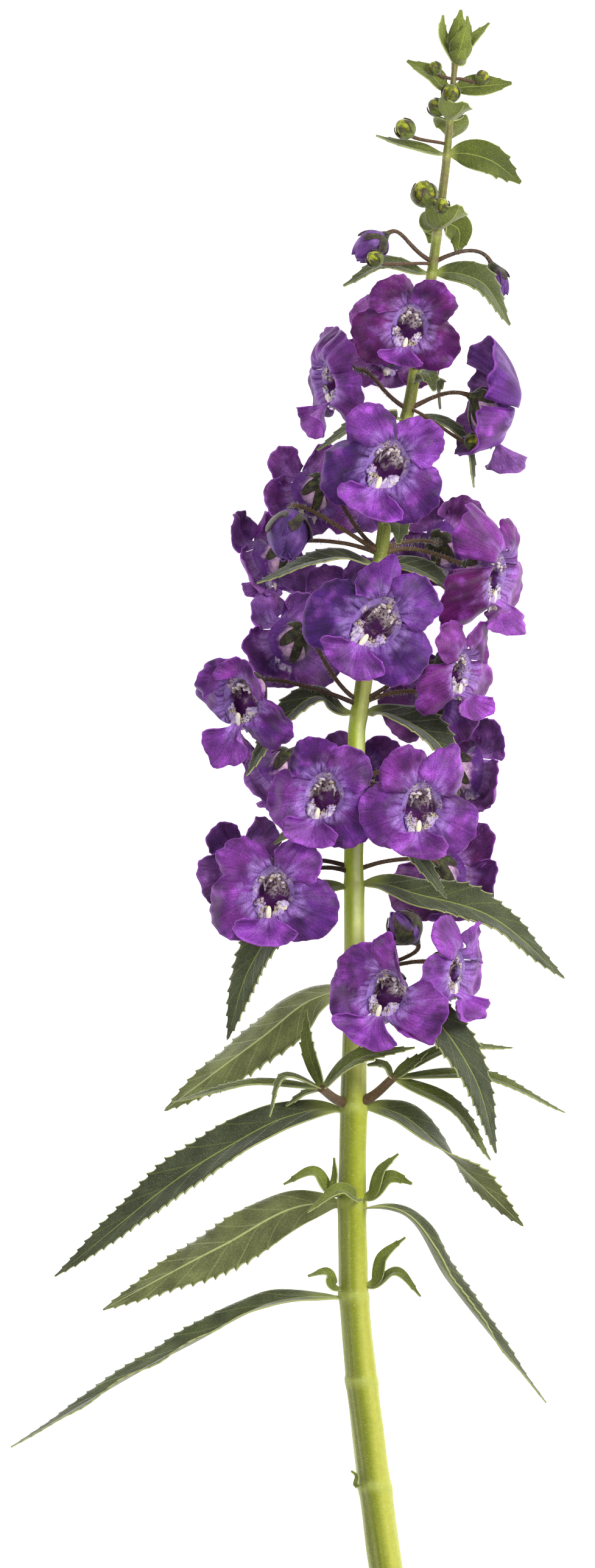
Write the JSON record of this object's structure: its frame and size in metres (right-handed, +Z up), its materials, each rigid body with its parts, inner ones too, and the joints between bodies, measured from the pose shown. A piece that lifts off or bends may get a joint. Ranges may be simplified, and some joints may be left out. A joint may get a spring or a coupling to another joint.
{
  "type": "flower spike",
  "caption": "Cut angelonia spike lying on its back: green stem, toothed lance leaves in opposite pairs, two-lipped violet blooms on thin stalks, closed buds and a leafy tip.",
  "frame": {"origin": "middle of the bounding box on the surface that the spike lies on", "axes": "+Y along the stem, from the cut end towards the tip; +Z up, away from the surface; +X to the right when seen from above with the tip away from the viewer"},
  "size_m": [0.1148, 0.3274, 0.0442],
  "materials": {
    "stem": "matt, finely hairy",
    "leaf": "matt, velvety",
    "petal": "matt, velvety"
  },
  "bodies": {
    "root": {"stem": "stem", "bloom_01": "petal", "bloom_02": "petal", "bloom_03": "petal", "bloom_04": "petal", "bloom_05": "petal", "bloom_06": "petal", "bloom_07": "petal", "bloom_08": "petal", "bloom_09": "petal", "bloom_10": "petal", "bloom_11": "petal", "bloom_12": "petal", "bloom_13": "petal", "bloom_14": "petal", "bloom_15": "petal", "bloom_16": "petal", "bloom_17": "petal", "bloom_18": "petal", "bloom_19": "petal", "bloom_20": "petal", "bloom_21": "petal", "bloom_22": "petal", "bloom_23": "petal", "bloom_24": "petal", "bloom_25": "petal", "bloom_26": "petal", "bud_01": "petal", "bud_02": "petal", "bud_03": "petal", "bud_04": "petal", "leaf_01": "leaf", "leaf_02": "leaf", "leaf_03": "leaf", "leaf_04": "leaf", "leaf_05": "leaf", "leaf_06": "leaf", "leaf_07": "leaf", "leaf_08": "leaf", "leaf_09": "leaf", "leaf_10": "leaf", "leaf_11": "leaf", "leaf_12": "leaf", "leaf_13": "leaf", "leaf_14": "leaf", "leaf_15": "leaf", "leaf_16": "leaf", "leaf_17": "leaf", "leaf_18": "leaf", "leaf_19": "leaf", "leaf_20": "leaf", "leaf_21": "leaf", "leaf_22": "leaf", "leaf_23": "leaf", "leaf_24": "leaf", "shoot_left": "leaf", "shoot_right": "leaf"}
  },
  "joints": []
}
